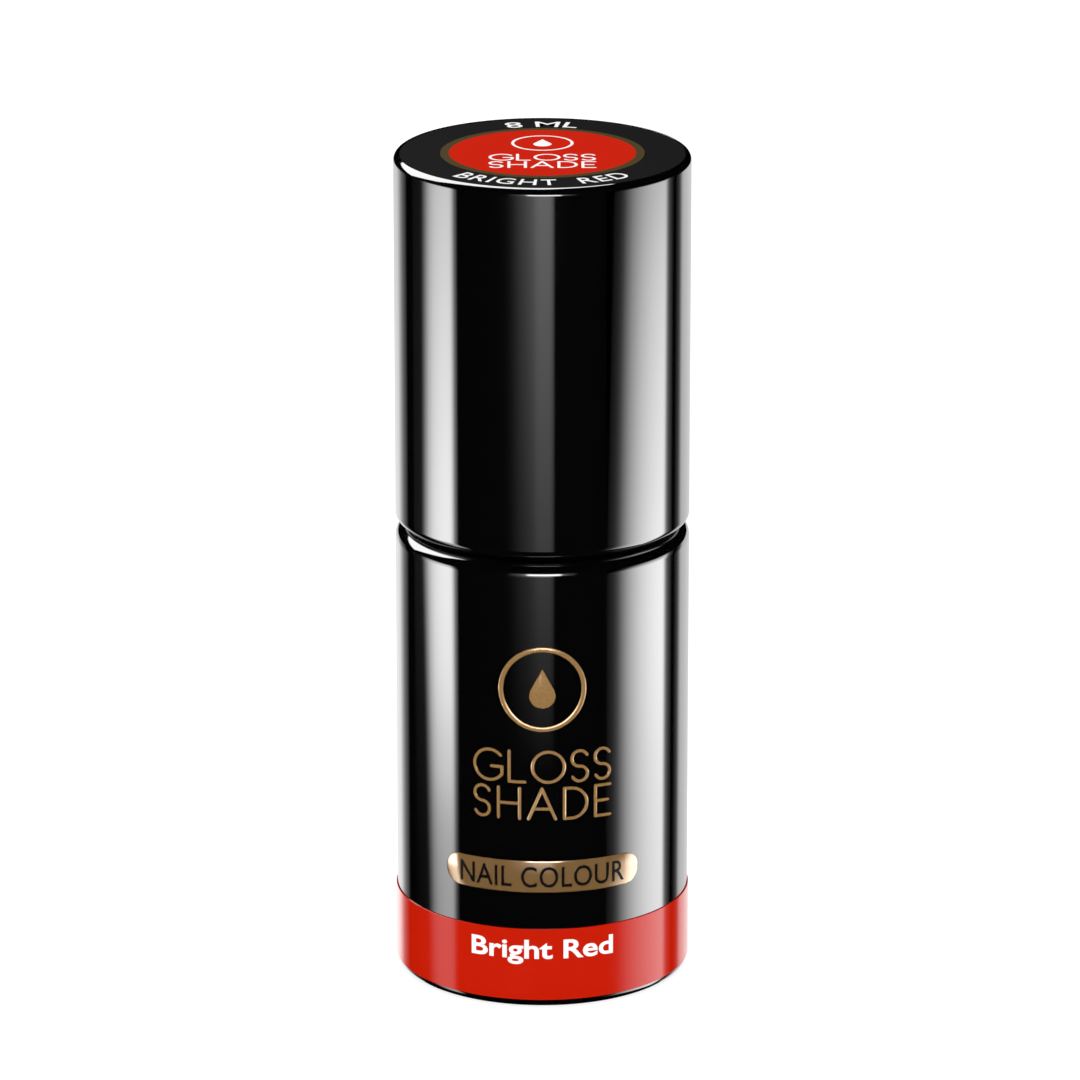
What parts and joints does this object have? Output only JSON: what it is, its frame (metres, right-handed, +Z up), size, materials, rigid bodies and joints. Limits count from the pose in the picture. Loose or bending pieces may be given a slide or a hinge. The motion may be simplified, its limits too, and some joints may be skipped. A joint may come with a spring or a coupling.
{
  "type": "nail polish bottle",
  "caption": "Slim cylindrical nail polish bottle in gloss black, with a red colour band, gold foil front, screw cap with a brush, and a red disc on top.",
  "frame": {"origin": "centre of the base circle, on the surface the bottle stands on", "axes": "+Z up along the bottle's axis; -Y is the printed front; +X is to the right when looking at the front"},
  "size_m": [0.0262, 0.0262, 0.0746],
  "materials": {
    "black_glass": "glossy opaque black-lacquered glass",
    "red_band": "glossy red film",
    "gold_foil": "hot-stamped gold foil",
    "base_paper": "matt white film",
    "red_gel": "viscous red gel",
    "foam": "closed-cell white foam",
    "stem_plastic": "black polyethylene",
    "steel": "steel wire",
    "nylon": "black nylon filaments",
    "inner_plastic": "black polypropylene",
    "cap_plastic": "high-gloss black",
    "top_black": "matt black film",
    "top_gold": "dull olive-gold print",
    "top_red": "matt red print"
  },
  "bodies": {
    "bottle": {"glass_bottle": "black_glass", "colour_band": "red_band", "foil_emblem": "gold_foil", "foil_words": "gold_foil", "foil_plaque": "gold_foil", "base_label": "base_paper", "gel_fill": "red_gel"},
    "liner": {"seal_liner": "foam"},
    "brush": {"brush_stem": "stem_plastic", "bristle_staple": "steel", "bristle_tuft": "nylon"},
    "cap": {"inner_cap": "inner_plastic", "cap_insert": "inner_plastic", "outer_cap": "cap_plastic", "top_label": "top_black", "top_gold_ring": "top_gold", "top_red_disc": "top_red"}
  },
  "joints": [
    {"name": "cap_pull", "type": "slide", "parent": "bottle", "child": "liner", "axis": [0, 0, 1], "range_m": [0, 0.055]},
    {"name": "thread_lift", "type": "slide", "parent": "liner", "child": "brush", "axis": [0, 0, 1], "range_m": [0, 0.005]},
    {"name": "cap_twist", "type": "hinge", "parent": "brush", "child": "cap", "pos_m": [0, 0, 0.058], "axis": [0, 0, 1], "range_deg": [0, 840]}
  ],
  "couplings": [
    {"joint": "thread_lift", "follows": "cap_twist", "m_per_rad": 0.00033741}
  ]
}
